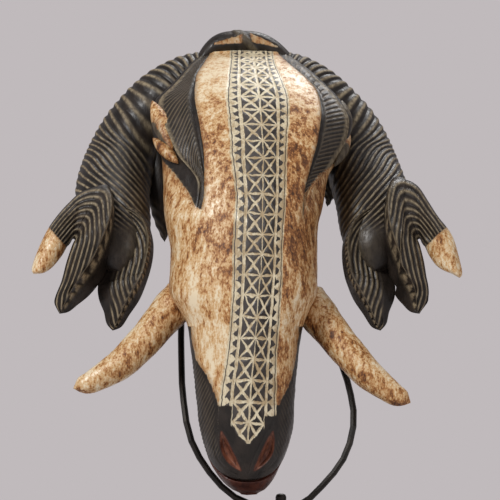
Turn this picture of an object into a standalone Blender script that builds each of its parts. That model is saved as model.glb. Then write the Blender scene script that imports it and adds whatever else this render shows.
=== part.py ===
"""A ram mask carved from one block of wood, carried by a bent rod on a flat foot.

Metres, +Z up, the mask's face towards -Y. The origin is the middle of the foot's underside.
The free forms of the mask are drawn on the carver's grid, whose UNIT is a share of the mask's height:
x runs from the mirror plane to the viewer's right, h up from the chin and d back from the nose.
"""

import math

import bmesh
import bpy
from mathutils import Matrix, Vector

MASK_HEIGHT = 0.432
WALL = 0.012
BAND_RELIEF = 0.0014
BROW_STEP = 0.0045
RIB_COUNT = 30
RIB_DEPTH = 0.0018
RIB_LEAN = 4.4  # how many ribs' breadth the ribs come to slant across the curl
LEAF_RIB_DEPTH = 0.0020
NOSTRIL_DEPTH = 0.014
MOUTH_GAP = 0.0038
CHIN_CLEARANCE = 0.0022
FOOT_BACK = 0.1068  # the foot's middle, back from the nose
ROD_DIAMETER = 0.006
POST_DIAMETER = 0.010
POST_HEIGHT = 0.110  # up to the level of the chin
POST_ROUNDING = 0.003
POST_ASIDE = 0.0331  # the post stands beside the chin
CRADLE_DROP = 0.0075
CRADLE_BACK = 0.0571  # the cradle's lowest run, back from the nose
BASE_WIDTH = 0.200
BASE_DEPTH = 0.200
BASE_THICKNESS = 0.014
BASE_CORNER = 0.010
EDGE_BEVEL = 0.0015
JOINT_GAP = 0.0003

# Grid tables, each of (h, value): the line of the face seen from the side, and the half widths
PROFILE = (
    (0, 46), (5, 30), (14, 18), (24, 12), (44, 5), (64, 1), (94, 0), (144, 1), (194, 4), (244, 12),
    (294, 28), (344, 56), (374, 80), (394, 101), (414, 129), (429, 160), (439, 187), (447, 210),
)
CROWN_RISE = 22.3  # grid height of the crown over the face's upper end
UNIT = MASK_HEIGHT / (PROFILE[-1][0] + CROWN_RISE)
BAND_MIDDLE = (
    (0, 2), (51, 3), (94, 5), (144, 9.5), (194, 13), (244, 17), (344, 18), (394, 15), (447, 9),
)
LEFT_SIDE = (
    (0, 4), (5, 13), (14, 23.5), (30, 34), (50, 41.5), (75, 47), (96, 49), (148, 55), (169, 58),
    (184, 66), (204, 77), (240, 75), (283, 82), (333, 84), (354, 92), (374, 95), (394, 92),
    (414, 74), (434, 57), (447, 46),
)
RIGHT_SIDE = (
    (0, 12), (5, 20), (14, 28), (28, 35), (43, 42), (72, 49), (96, 50), (149, 55), (166, 58),
    (184, 65), (204, 73), (259, 73), (294, 80), (317, 84), (334, 93), (354, 105), (374, 109),
    (394, 99), (411, 84), (424, 71), (435, 57), (447, 44),
)
LEFT_FIELD = (
    (0, 2), (51, 9), (80, 24), (101, 30), (120, 39), (138, 50), (169, 54), (230, 54), (275, 46),
    (304, 41), (334, 41), (366, 45), (403, 51), (419, 50), (437, 41), (447, 36),
)
RIGHT_FIELD = (
    (0, 6), (51, 14), (80, 30), (95, 36), (110, 44), (138, 51), (169, 54), (230, 57), (274, 58),
    (302, 60), (327, 66), (359, 74), (385, 77), (403, 74), (420, 61), (437, 42), (447, 34),
)
LEFT_RIDGE = (
    (0, 3), (169, 56), (230, 62), (275, 50), (309, 46), (341, 68), (368, 80), (395, 88),
    (414, 70), (434, 54), (447, 43),
)
RIGHT_RIDGE = (
    (0, 7), (169, 56), (230, 64), (274, 60), (301, 65), (317, 76), (332, 90), (356, 102),
    (374, 105), (395, 96), (411, 81), (435, 54), (447, 41),
)
SIDE_DEPTH = (
    (0, 50), (50, 48), (94, 45), (150, 54), (204, 72), (254, 90), (304, 110), (354, 134),
    (394, 160), (424, 190), (447, 224),
)
RIM_DEPTH = (
    (0, 54), (5, 68), (14, 82), (30, 92), (94, 98), (150, 108), (175, 118), (204, 135),
    (254, 158), (304, 182), (354, 205), (404, 222), (447, 238),
)
BAND_HALF = ((0, 3), (51, 6), (67, 17), (94, 27), (150, 24), (244, 24), (344, 27), (394, 30), (447, 21))
HORN_LINE = (
    (-36, 423, 236, 26), (-58, 415, 236, 30), (-86, 396, 233, 33), (-112, 367, 225, 34),
    (-128, 332, 204, 37), (-135, 300, 170, 38), (-131, 270, 136, 36), (-127, 247, 112, 29),
    (-126, 230, 98, 17), (-126, 222, 92, 0),
)
TINE_LINE = (
    (-134, 278, 126, 28), (-150, 281, 112, 25), (-167, 275, 100, 18.5), (-181, 264, 91, 14.5),
    (-191, 249, 84, 12.5), (-201, 234, 79, 10), (-210, 223, 76, 6), (-214, 218, 75, 0),
)
TUSK_LINE = (
    (-46, 197, 92, 18), (-66, 190, 84, 21), (-83, 174, 74, 18.6), (-98, 156, 64, 17),
    (-122, 132, 52, 15.6), (-148, 115, 44, 12), (-163, 109, 41, 8.5), (-171, 106, 40, 0),
)
# A leaf by height: outer edge, toothed crest, inner edge, and the crest's depth
OUTER_LEAF = (
    (180, -187, -186, -185, 78), (188, -190, -183, -172, 70), (202, -187, -175, -155, 64),
    (216, -182, -166, -149, 61), (236, -177, -152, -140, 60), (256, -173, -142, -135, 63),
    (280, -170, -133, -130, 74), (298, -160, -132, -128, 92), (309, -146, -135, -127, 118),
)
INNER_LEAF = (
    (163, -134, -133, -132, 88), (172, -139, -129, -122, 81), (190, -146, -120, -108, 75),
    (209, -150, -109, -99, 73), (230, -146, -100, -94, 75), (246, -142, -97, -92, 80),
    (260, -138, -96, -93, 88), (274, -135, -100, -96, 99), (288, -132, -112, -103, 118),
)
# The web that joins each horn's inner side to the head, from its top to its foot, and its half width
WEBS = {
    -1: ((-92, 356, 206), (-82, 252, 196), 13.0),
    1: ((95, 350, 206), (84, 288, 196), 9.0),
}
# The upper and lower lid of each eye, from corner to corner
LIDS = {
    -1: (((-89, 394, 132), (-75, 349, 98)), ((-91, 357, 118), (-67, 332, 82))),
    1: (((99, 398, 150), (103, 350, 122)), ((107, 357, 138), (90, 328, 106))),
}


def spot(x, h, d):
    """Grid place to metres in the part's frame."""
    chin = BASE_THICKNESS + POST_HEIGHT
    return Vector((x * UNIT, d * UNIT - FOOT_BACK, chin + h * UNIT))


def blend(values, share):
    """Smooth curve through four neighbouring values, from the second to the third."""
    a, b, c, d = values
    return 0.5 * (
        2 * b + (c - a) * share + (2 * a - 5 * b + 4 * c - d) * share**2 + (3 * b - a - 3 * c + d) * share**3
    )


def along(line, share):
    """The point at a share (0 to 1) of a list of points, on a smooth curve through them."""
    place = min(max(share, 0.0), 1.0) * (len(line) - 1)
    first = min(int(place), len(line) - 2)
    near = [line[min(max(first + k, 0), len(line) - 1)] for k in (-1, 0, 1, 2)]
    return [blend(values, place - first) for values in zip(*near)]


def level(table, h):
    """A grid table's value at a height, on smooth slopes that never overshoot."""
    if h <= table[0][0]:
        return table[0][1]
    for k in range(len(table) - 1):
        (h0, v0), (h1, v1) = table[k], table[k + 1]
        if h <= h1:
            before = table[k - 1] if k else (h0 - (h1 - h0), v0)
            after = table[k + 2] if k + 2 < len(table) else (h1 + (h1 - h0), v1)
            slope = (v1 - v0) / (h1 - h0)
            start = gentle((v0 - before[1]) / (h0 - before[0]), slope) * (h1 - h0)
            end = gentle(slope, (after[1] - v1) / (after[0] - h1)) * (h1 - h0)
            s = (h - h0) / (h1 - h0)
            return (
                v0 * (1 + 2 * s) * (1 - s) ** 2 + start * s * (1 - s) ** 2
                + v1 * s * s * (3 - 2 * s) - end * s * s * (1 - s)
            )
    return table[-1][1]


def gentle(a, b):
    """A slope between two slopes that keeps a curve from overshooting."""
    return 0.0 if a * b <= 0 else 2 * a * b / (a + b)


def ease(low, high, value):
    share = min(max((value - low) / (high - low), 0.0), 1.0)
    return share * share * (3 - 2 * share)


def as_drawn(x, h):
    return x, h


def right_horn(x, h):
    """The right horn lies a little closer to the head than the left one's mirror image."""
    return x * (1.025 - 0.1 * ease(240, 330, h) - 0.035 * ease(360, 400, h)), h


def right_end(x, h):
    """The right horn's end is carved a little wider and higher than the left one's mirror image."""
    leaf = ease(148, 156, x) * (1 - ease(190, 204, x)) * (14 - 10 * ease(180, 215, h))
    drop = 4 * ease(202, 213, x)
    return x + 3 + 0.09 * max(0.0, h - 215) - leaf, h + 8 * ease(280, 306, h) - drop


def right_tusk(x, h):
    """The right tusk hangs a little lower than the left one's mirror image."""
    drop = 7.5 * ease(50, 80, x) + 7 * max(0.0, (x - 80) / 92) ** 2
    return x * (1 - 0.035 * ease(80, 170, x)), h - drop


def material(name, colour, roughness, metallic=0.0):
    made = bpy.data.materials.new(name)
    made.use_nodes = True
    shader = made.node_tree.nodes["Principled BSDF"]
    shader.inputs["Base Color"].default_value = (*colour, 1.0)
    shader.inputs["Roughness"].default_value = roughness
    shader.inputs["Metallic"].default_value = metallic
    return made


def grid_form(name, columns, rows, place):
    """A closed form from a grid whose column and row numbers place(column, row) turns into points."""
    mesh = bpy.data.meshes.new(name)
    shape = bmesh.new()
    bmesh.ops.create_grid(shape, x_segments=columns, y_segments=rows, size=1.0)
    for vertex in shape.verts:
        column = round((vertex.co.x + 1) / 2 * columns)
        row = round((vertex.co.y + 1) / 2 * rows)
        vertex.co = place(column, row)
    bmesh.ops.remove_doubles(shape, verts=shape.verts[:], dist=1e-6)
    bmesh.ops.holes_fill(shape, edges=shape.edges[:], sides=0)
    bmesh.ops.recalc_face_normals(shape, faces=shape.faces[:])
    shape.to_mesh(mesh)
    shape.free()
    form = bpy.data.objects.new(name, mesh)
    bpy.context.scene.collection.objects.link(form)
    return form


def helper(form):
    form.hide_render = True
    form.display_type = "WIRE"
    return form


def boolean(form, other, operation):
    """Joins or cuts with the MANIFOLD solver, because EXACT loses this form when it cuts the hollow."""
    step = form.modifiers.new(f"{operation.lower()} {other.name}", "BOOLEAN")
    step.operation = operation
    step.solver = "MANIFOLD"
    step.object = helper(other)


def half_section(h, side, inset):
    """(x, d) from the middle of the face to the back rim, on one side, at one height."""
    middle = level(BAND_MIDDLE, h)
    widest = level(RIGHT_SIDE if side > 0 else LEFT_SIDE, h) - side * middle - inset * 1.15
    field = level(RIGHT_FIELD if side > 0 else LEFT_FIELD, h) - side * middle
    ridge = level(RIGHT_RIDGE if side > 0 else LEFT_RIDGE, h) - side * middle
    band = min(level(BAND_HALF, h), 0.62 * widest)
    field = min(max(field, band * 1.06), 0.86 * widest)
    ridge = min(max(ridge, field * 1.04 + 1), 0.955 * widest)
    front = face_depth(h, inset)
    deep = max(level(SIDE_DEPTH, h), front + 4)
    rim = level(RIM_DEPTH, h) + inset * 2.5
    brow = ease(276, 306, h) * (1 - 0.5 * ease(410, 440, h)) if not inset else 0.0
    step = BROW_STEP / UNIT * brow
    groove = BAND_RELIEF / UNIT * ease(52, 66, h) if not inset else 0.0
    plain, panel, lid = field - band, ridge - field, widest - ridge
    edge = min(0.6, 0.1 * plain, 0.1 * panel)
    border = field + 0.3 * panel
    lines = (
        (band * 0.04, groove), (band * 0.60, 0), (band * 0.68, groove), (band * 0.93, 0),
        (band, groove), (band + 0.15 * plain, 0), (band + 0.5 * plain, 0), (field - edge, 0),
        (field + edge, 0.7 * step), (border, 0.8 * step), (field + 0.6 * panel, 1.5 * step),
        (ridge - 0.1 * panel, 0.6 * step), (ridge, 0.1 * step), (ridge + 0.15 * lid, 1.6 * step),
        (ridge + 0.5 * lid, 1.1 * step), (ridge + 0.85 * lid, 0), (widest, 0),
    )
    if inset:
        lines = [(share * widest, 0) for share in (0.35, 0.65, 0.85, 0.96, 1.0)]
    points = []
    for width, lower in lines:
        share = min(width / widest, 1.0)
        depth = front + (deep - front) * (1 - (1 - share**2.4) ** (1 / 2.4))
        points.append((middle + side * width, depth + lower))
    tuck = 0.90 if not inset else 0.97
    points.append((middle + side * widest * (1 + tuck) / 2, (deep + rim) / 2))
    points.append((middle + side * widest * tuck, rim - 2))
    points.append((middle + side * widest * tuck * 0.93, rim))
    return points


def face_depth(h, inset):
    """Depth of the face's middle line, or of the hollow's, which lies one wall behind it."""
    if not inset:
        return level(PROFILE, h)
    line = []
    for k in range(1, len(PROFILE) - 1):
        rise = PROFILE[k + 1][0] - PROFILE[k - 1][0]
        back = PROFILE[k + 1][1] - PROFILE[k - 1][1]
        size = math.hypot(rise, back)
        line.append((PROFILE[k][0] - inset * back / size, PROFILE[k][1] + inset * rise / size))
    return level(sorted(line), h)


def head_levels():
    """Heights of the head's sections, close together where the face turns back over the top."""
    pitch = 21.0
    levels = [0.0, 2.0, 6.0, 14.0, 26.0, 40.0]
    h = 54.0
    while h < 445:
        levels.append(h)
        lean = (level(PROFILE, h + 2) - level(PROFILE, h - 2)) / 4
        h += pitch / math.hypot(1, lean)
    return levels + [447.0]


def section_form(name, levels, inset, ends):
    """A loft of the head's sections; ends gives the depth of each closing point."""
    rings = []
    for h in levels:
        left = half_section(h, -1, inset)
        right = half_section(h, 1, inset)
        front = (level(BAND_MIDDLE, h), face_depth(h, inset))
        back = (0.0, level(RIM_DEPTH, h) + inset * 2.5)
        rings.append([(*p, h) for p in [back, *left[::-1], front, *right]])
    count = len(rings[0])
    first, last = ends

    def place(column, row):
        if row == 0:
            return spot(level(BAND_MIDDLE, levels[0]), *first)
        if row == len(rings) + 1:
            return spot(level(BAND_MIDDLE, levels[-1]), *last)
        x, d, h = rings[row - 1][column % count]
        return spot(x, h, d)

    return grid_form(name, count, len(rings) + 1, place)


def tube_form(name, line, columns, rows, side, bend, depth=0.0):
    """A tapering round form along a line of (x, h, d, radius), with ribs around it.

    The ribs are deep on the outer side of the curl and worn smooth on the inner side."""
    curl = Vector((-70.0, 262.0, 150.0))

    def centre(share):
        x, h, d, radius = along(line, share)
        x, h = bend(-x, h)
        return Vector((-x, h, d)), max(radius, 0.0)

    def place(column, row):
        angle = 2 * math.pi * column / columns
        share = row / rows
        lean = RIB_LEAN * (ease(0.2, 0.75, share) - 0.3) if depth else 0.0
        share -= lean * ease(0, 0.1, share) * (1 - ease(0.9, 1, share)) * math.cos(angle) / RIB_COUNT
        middle, radius = centre(share)
        ahead = (centre(min(share + 0.01, 1))[0] - centre(max(share - 0.01, 0))[0]).normalized()
        outward = middle - curl
        outward = (outward - outward.dot(ahead) * ahead).normalized()
        across = ahead.cross(outward)
        worn = 0.2 + 0.8 * (0.5 + 0.5 * math.cos(angle))
        cut = depth / UNIT * worn if row % 2 == 0 and 1 < row < rows - 1 else 0.0
        point = middle + (radius - cut) * (math.cos(angle) * outward + math.sin(angle) * across)
        return spot(point.x * -side, point.y, point.z)

    return grid_form(name, columns, rows, place)


def leaf_form(name, line, side, bend, rows, ribs):
    """A pointed leaf of the horn's end: ribbed outwards of its toothed crest, smooth inwards."""
    ribs_cut = LEAF_RIB_DEPTH / UNIT
    outer_points = 2 * ribs
    count = outer_points + 6

    def bent(x, h, d):
        x, h = bend(-x, h)
        return spot(x * side, h, d)

    def place(column, row):
        h, outer, crest, inner, deep = along(line, row / rows)
        if row == 0:
            return bent(crest, h, deep)
        thick = 34 * min(1.0, (h - line[0][0]) / 30 + 0.15)
        column %= count
        if column < outer_points:
            share = column / outer_points
            x = outer + (crest - outer) * share
            bulge = thick * 0.42 * (1 - share) ** 1.6
            rib = ribs_cut if column % 2 and row < rows else 0.0
            return bent(x, h, deep + bulge + rib)
        tail = (
            (crest, 0.0), (crest + (inner - crest) * 0.55, 0.30), (inner, 0.62),
            (inner + (outer - inner) * 0.22, 0.95), (inner + (outer - inner) * 0.62, 1.0),
            (outer + (inner - outer) * 0.06, 0.72),
        )
        x, share = tail[column - outer_points]
        return bent(x, h, deep + thick * share)

    return grid_form(name, count, rows, place)


def spindle(name, start, end, width, thickness, columns=6, rows=6):
    """A lid or almond: pointed at both ends, between two grid places (x, h, d)."""
    start, end = Vector(start), Vector(end)
    ahead = (end - start).normalized()
    across = ahead.cross(Vector((0, 0, 1))).normalized()
    out = across.cross(ahead)

    def place(column, row):
        swell = math.sin(math.pi * row / rows) ** 0.75 if 0 < row < rows else 0.0
        angle = 2 * math.pi * column / columns
        point = start.lerp(end, row / rows)
        point = point + swell * (width * math.cos(angle) * across + thickness * math.sin(angle) * out)
        return spot(*point)

    return grid_form(name, columns, rows, place)


def crown(name):
    """The rolled rim behind the forehead, with its strap and point over the band's end."""
    columns, rows = 10, 18

    def place(column, row):
        share = 2 * row / rows - 1
        x = -1 + 46 * share
        top = PROFILE[-1][0] + CROWN_RISE * (1 - abs(share) ** (3.6 if share < 0 else 2.4))
        strap = 1.0 * max(0.0, 1 - abs(x - 1) / 8)
        angle = 2 * math.pi * column / columns
        thick = 15 if abs(share) < 1 else 8
        h = top + strap - 12 + (12 + strap) * math.sin(angle)
        return spot(x, h, 228 + thick * math.cos(angle) - 3 * strap)

    return grid_form(name, columns, rows, place)


def mouth_cutter():
    """A thin wedge that parts the lips, rising towards the corners of the mouth."""
    gap = MOUTH_GAP / UNIT

    def place(column, row):
        share = row / 10
        side = (1, 1, -1, -1)[column % 4]
        up = (1, -1, -1, 1)[column % 4]
        d = -10 + 78 * share
        h = 15 + 22 * share**2 + up * gap / 2 * (1 - 0.5 * share)
        return spot(4 + side * 70, h, d)

    return grid_form("mouth_cutter", 4, 10, place)


def mask():
    levels = head_levels()
    head = section_form("mask", levels, 0.0, ((-0.8, 50), (451, 226)))
    inset = WALL / UNIT
    hollow_levels = [h for h in levels if 176 < h < 430]
    hollow = section_form("hollow_cutter", hollow_levels, inset, ((170, 150), (436, 232)))
    boolean(head, crown("crown"), "UNION")
    for side, name in ((-1, "left"), (1, "right")):
        horn, end, tusk = (right_horn, right_end, right_tusk) if side > 0 else (as_drawn,) * 3
        top, foot, half = WEBS[side]
        boolean(head, spindle(f"{name}_web", top, foot, half, half), "UNION")
        ribbed = tube_form(f"{name}_horn", HORN_LINE, 9, 2 * RIB_COUNT, side, horn, RIB_DEPTH)
        boolean(head, ribbed, "UNION")
        boolean(head, tube_form(f"{name}_tine", TINE_LINE, 10, 10, side, end), "UNION")
        boolean(head, leaf_form(f"{name}_outer_leaf", OUTER_LEAF, side, end, 9, 6), "UNION")
        boolean(head, leaf_form(f"{name}_inner_leaf", INNER_LEAF, side, end, 9, 6), "UNION")
        boolean(head, tube_form(f"{name}_tusk", TUSK_LINE, 10, 10, side, tusk), "UNION")
        for number, (start, end) in enumerate(LIDS[side]):
            boolean(head, spindle(f"{name}_lid_{number}", start, end, 7, 8), "UNION")
    boolean(head, hollow, "DIFFERENCE")
    for side in (-1, 1):
        deep = NOSTRIL_DEPTH / UNIT
        nostril = spindle(
            f"nostril_{side + 1}", (1.5 + side * 25.5, 63, 4), (1.5 + side * 8, 24, 14), 6.0, deep
        )
        boolean(head, nostril, "DIFFERENCE")
    boolean(head, mouth_cutter(), "DIFFERENCE")
    head.data.materials.append(material("carved_wood", (0.30, 0.22, 0.14), 0.55))
    return head


def roof_height(x, d):
    """Height of the hollow's roof over a place inside it."""
    inset = WALL / UNIT
    low, high = 240.0, 430.0
    for _ in range(40):
        h = (low + high) / 2
        side = 1 if x > 0 else -1
        middle = level(BAND_MIDDLE, h)
        widest = level(RIGHT_SIDE if side > 0 else LEFT_SIDE, h) - side * middle - inset * 1.15
        front = face_depth(h, inset)
        deep = max(level(SIDE_DEPTH, h), front + 4)
        share = min(abs(x - middle) / widest, 1.0)
        depth = front + (deep - front) * (1 - (1 - share**2.4) ** (1 / 2.4))
        low, high = (h, high) if depth < d else (low, h)
    return low


def cradle():
    """The bent rod: a horseshoe under the muzzle whose arms pass the rim into the hollow."""
    radius = ROD_DIAMETER / 2 / UNIT
    gap = JOINT_GAP / UNIT
    low = -(CHIN_CLEARANCE + CRADLE_DROP + ROD_DIAMETER / 2) / UNIT
    back = CRADLE_BACK / UNIT
    tip = 150.0
    left_top = roof_height(-38, tip - radius) - 2 * radius - gap
    right_top = roof_height(50, tip - radius) - 2 * radius - gap
    route = (
        (-38, left_top, tip), (-40, left_top - 60, 152), (-46, 245, 154), (-55, 214, 150),
        (-63, 188, 138), (-64.5, 164, 122), (-64, 132, 104), (-62.5, 100, 88), (-55.5, 58, 72),
        (-38, 25, back + 2), (-12, 1.5 + low / 4, back), (20, low, back), (52, low + 1, back),
        (79, 10, back), (100, 38, back + 4), (109, 72, 74), (105, 104, 90), (96, 132, 106),
        (84, 162, 124), (73, 190, 141), (58, 218, 152), (50, 248, 154), (50, right_top - 60, 152),
        (50, right_top, tip),
    )
    curve = bpy.data.curves.new("cradle", "CURVE")
    curve.dimensions = "3D"
    curve.bevel_depth = ROD_DIAMETER / 2
    curve.bevel_resolution = 2
    curve.use_fill_caps = True
    rod = curve.splines.new("POLY")
    count = 48
    rod.points.add(count)
    for number, point in enumerate(rod.points):
        point.co = (*spot(*along(route, number / count)), 1.0)
    made = bpy.data.objects.new("cradle", curve)
    bpy.context.scene.collection.objects.link(made)
    curve.materials.append(material("black_steel", (0.05, 0.045, 0.04), 0.45, 0.8))
    return made


def turned(name, radius, low, high, bevel, where):
    """A round bar on end, with its rims eased."""
    mesh = bpy.data.meshes.new(name)
    shape = bmesh.new()
    bmesh.ops.create_cone(
        shape, cap_ends=True, segments=24, radius1=radius, radius2=radius, depth=high - low
    )
    rims = [edge for edge in shape.edges if abs(edge.verts[0].co.z - edge.verts[1].co.z) < 1e-6]
    bmesh.ops.bevel(shape, geom=rims, offset=bevel, segments=2, profile=0.5, affect="EDGES")
    bmesh.ops.transform(
        shape, matrix=Matrix.Translation((where.x, where.y, (low + high) / 2)), verts=shape.verts[:]
    )
    shape.to_mesh(mesh)
    shape.free()
    made = bpy.data.objects.new(name, mesh)
    bpy.context.scene.collection.objects.link(made)
    return made


def post():
    """The upright: a bar on the foot that ends beside the chin, behind the cradle's lowest run."""
    where = Vector((POST_ASIDE, CRADLE_BACK - FOOT_BACK, 0))
    where.y += (ROD_DIAMETER + POST_DIAMETER) / 2 + JOINT_GAP
    low = BASE_THICKNESS + JOINT_GAP
    made = turned("post", POST_DIAMETER / 2, low, BASE_THICKNESS + POST_HEIGHT, POST_ROUNDING, where)
    made.data.materials.append(material("post_steel", (0.06, 0.055, 0.05), 0.4, 0.8))
    return made


def base_plate():
    mesh = bpy.data.meshes.new("base_plate")
    shape = bmesh.new()
    bmesh.ops.create_cube(shape, size=1.0)
    bmesh.ops.scale(shape, vec=(BASE_WIDTH, BASE_DEPTH, BASE_THICKNESS), verts=shape.verts[:])
    bmesh.ops.translate(shape, vec=(0, 0, BASE_THICKNESS / 2), verts=shape.verts[:])
    corners = [edge for edge in shape.edges if abs(edge.verts[0].co.z - edge.verts[1].co.z) > 1e-6]
    bmesh.ops.bevel(shape, geom=corners, offset=BASE_CORNER, segments=5, profile=0.5, affect="EDGES")
    top = [edge for edge in shape.edges if min(v.co.z for v in edge.verts) > BASE_THICKNESS - 1e-6]
    bmesh.ops.bevel(shape, geom=top, offset=EDGE_BEVEL, segments=2, profile=0.5, affect="EDGES")
    shape.to_mesh(mesh)
    shape.free()
    made = bpy.data.objects.new("base_plate", mesh)
    bpy.context.scene.collection.objects.link(made)
    made.data.materials.append(material("base_steel", (0.07, 0.065, 0.06), 0.45, 0.8))
    return made


def smooth(form, angle):
    form.data.shade_smooth()
    form.data.set_sharp_from_angle(angle=math.radians(angle))


def main():
    for thing in list(bpy.data.objects):
        bpy.data.objects.remove(thing, do_unlink=True)
    mask()
    cradle()
    smooth(post(), 40)
    base_plate()


main()
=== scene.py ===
"""A ram mask carved from one block of wood, rubbed with kaolin and soot, on its bent-rod stand."""

import math

import bmesh
import bpy
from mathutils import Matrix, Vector, noise


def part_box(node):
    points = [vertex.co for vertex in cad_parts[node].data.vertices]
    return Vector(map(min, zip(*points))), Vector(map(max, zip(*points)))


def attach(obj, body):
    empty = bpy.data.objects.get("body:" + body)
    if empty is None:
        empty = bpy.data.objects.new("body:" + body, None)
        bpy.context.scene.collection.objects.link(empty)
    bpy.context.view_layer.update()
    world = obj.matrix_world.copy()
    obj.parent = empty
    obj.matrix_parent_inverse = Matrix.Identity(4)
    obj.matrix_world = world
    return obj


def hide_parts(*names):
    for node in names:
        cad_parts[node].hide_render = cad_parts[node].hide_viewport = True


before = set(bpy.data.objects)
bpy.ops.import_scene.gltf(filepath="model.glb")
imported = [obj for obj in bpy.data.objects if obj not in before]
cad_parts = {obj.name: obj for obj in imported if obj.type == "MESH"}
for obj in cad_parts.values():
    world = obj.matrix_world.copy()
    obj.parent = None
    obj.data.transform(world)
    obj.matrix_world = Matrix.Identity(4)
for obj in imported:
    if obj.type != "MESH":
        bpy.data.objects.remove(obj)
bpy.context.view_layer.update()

# The head: one block of wood carved as a ram's long face and hollowed from behind for the wearer.
# Kaolin is rubbed over the face and cheeks, soot over the brows and the muzzle, and the forehead
# band, the brow hatching and the jaw hatching are cut with a knife through the paint.
MASK_HEIGHT = 0.432
GRID = 469.3  # the carver's grid: units across the height, x to the viewer's right, h up, d back
UNIT = MASK_HEIGHT / GRID
WALL = 0.012 / UNIT
CHIN_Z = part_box("post")[1].z
FOOT_BACK = 0.1068  # the foot's middle, back from the nose
SECTION_POWER = 2.4
RIM_TUCK = 0.90  # how far the flank draws in towards the rim, in shares of the widest line
ROW_STEP = 1.02
BROW_STEP = 4.9
BAND_ROW = 21.0  # length of one row of the band along the face
CELL_SIDE = 0.58  # where the crossed cells end, in shares of the band's half width
CROSS_REACH = 13.5  # grid units for a whole cell across its slanting strokes
COLUMN_REACH = 17.0  # and across one column of cells
BAND_FOOT = 51  # height at which the band starts on the muzzle
FACE_TOP = 447.0
BAND_CUT = 0.9
HATCH_CUT = 0.9
NOSTRIL_CUT = 8.0
PROFILE = (
    (0, 46), (5, 30), (14, 18), (24, 12), (44, 5), (64, 1), (94, 0), (144, 1), (194, 4), (244, 12),
    (294, 28), (344, 56), (374, 80), (394, 101), (414, 129), (429, 160), (439, 187), (447, 210),
)
BAND_MIDDLE = (
    (0, 2), (51, 3), (94, 5), (144, 9.5), (194, 13), (244, 17), (344, 18), (394, 15), (447, 9),
)
SIDE_LINE = {
    -1: (
        (0, 4), (5, 13), (14, 23.5), (30, 34), (50, 41.5), (75, 47), (96, 49), (148, 55), (169, 58),
        (184, 66), (204, 77), (240, 75), (283, 82), (333, 84), (354, 92), (374, 95), (394, 92),
        (414, 74), (434, 57), (447, 46),
    ),
    1: (
        (0, 12), (5, 20), (14, 28), (28, 35), (43, 42), (72, 49), (96, 50), (149, 55), (166, 58),
        (184, 65), (204, 73), (259, 73), (294, 80), (317, 84), (334, 93), (354, 105), (374, 109),
        (394, 99), (411, 84), (424, 71), (435, 57), (447, 44),
    ),
}
FIELD_LINE = {
    -1: (
        (0, 2), (51, 9), (80, 24), (101, 30), (120, 39), (138, 50), (169, 54), (230, 54), (275, 46),
        (304, 41), (334, 41), (366, 45), (403, 51), (419, 50), (437, 41), (447, 36),
    ),
    1: (
        (0, 6), (51, 14), (80, 30), (95, 36), (110, 44), (138, 51), (169, 54), (230, 57), (274, 58),
        (302, 60), (327, 66), (359, 74), (385, 77), (403, 74), (420, 61), (437, 42), (447, 34),
    ),
}
RIDGE_LINE = {
    -1: (
        (0, 3), (169, 56), (230, 62), (275, 50), (309, 46), (341, 68), (368, 80), (395, 88),
        (414, 70), (434, 54), (447, 43),
    ),
    1: (
        (0, 7), (169, 56), (230, 64), (274, 60), (301, 65), (317, 76), (332, 90), (356, 102),
        (374, 105), (395, 96), (411, 81), (435, 54), (447, 41),
    ),
}
BAND_LINE = {
    -1: (
        (0, 3), (47, 24), (67, 29), (94, 29), (144, 26), (194, 25), (244, 28), (294, 26), (344, 31),
        (394, 32), (447, 23),
    ),
    1: (
        (0, 3), (47, 22), (67, 26), (94, 25), (144, 22), (194, 22), (244, 20), (294, 22), (344, 23),
        (394, 28), (447, 19),
    ),
}
# Outer limit of the soot under each eye; beyond it the cheek is white again
SOOT_LIMIT = {
    -1: (
        (0, 200), (158, 200), (178, -80), (277, -60), (285, 46), (300, 60), (330, 82), (344, 90),
        (352, 200), (447, 200),
    ),
    1: (
        (0, 200), (158, 200), (178, -80), (262, -60), (272, 55), (301, 64), (317, 75), (332, 90),
        (350, 101), (362, 200), (447, 200),
    ),
}
# How browned the kaolin is by smoke and handling; below zero it stays white
STAIN_LINE = {
    -1: (
        (0, 0.1), (110, 0.0), (190, -0.05), (250, 0.25), (320, 0.35), (370, 0.0), (400, -0.3),
        (447, -0.1),
    ),
    1: (
        (0, 0.3), (110, 0.35), (190, 0.35), (250, 0.55), (330, 0.5), (372, 0.2), (400, -0.15),
        (447, 0.1),
    ),
}
SIDE_DEPTH = (
    (0, 50), (50, 48), (94, 45), (150, 54), (204, 72), (254, 90), (304, 110), (354, 134),
    (394, 160), (424, 190), (447, 224),
)
RIM_DEPTH = (
    (0, 54), (5, 68), (14, 82), (30, 92), (94, 98), (150, 108), (175, 118), (204, 135),
    (254, 158), (304, 182), (354, 205), (404, 222), (447, 238),
)
ZONES = (("band", 25), ("plain", 13), ("panel", 22), ("lid", 11), ("flank", 8), ("hollow", 10))


def spot(x, h, d):
    """Grid place to metres in the part's frame."""
    return Vector((x * UNIT, d * UNIT - FOOT_BACK, CHIN_Z + h * UNIT))


def gentle(a, b):
    """A slope between two slopes that keeps a curve from overshooting."""
    return 0.0 if a * b <= 0 else 2 * a * b / (a + b)


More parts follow.
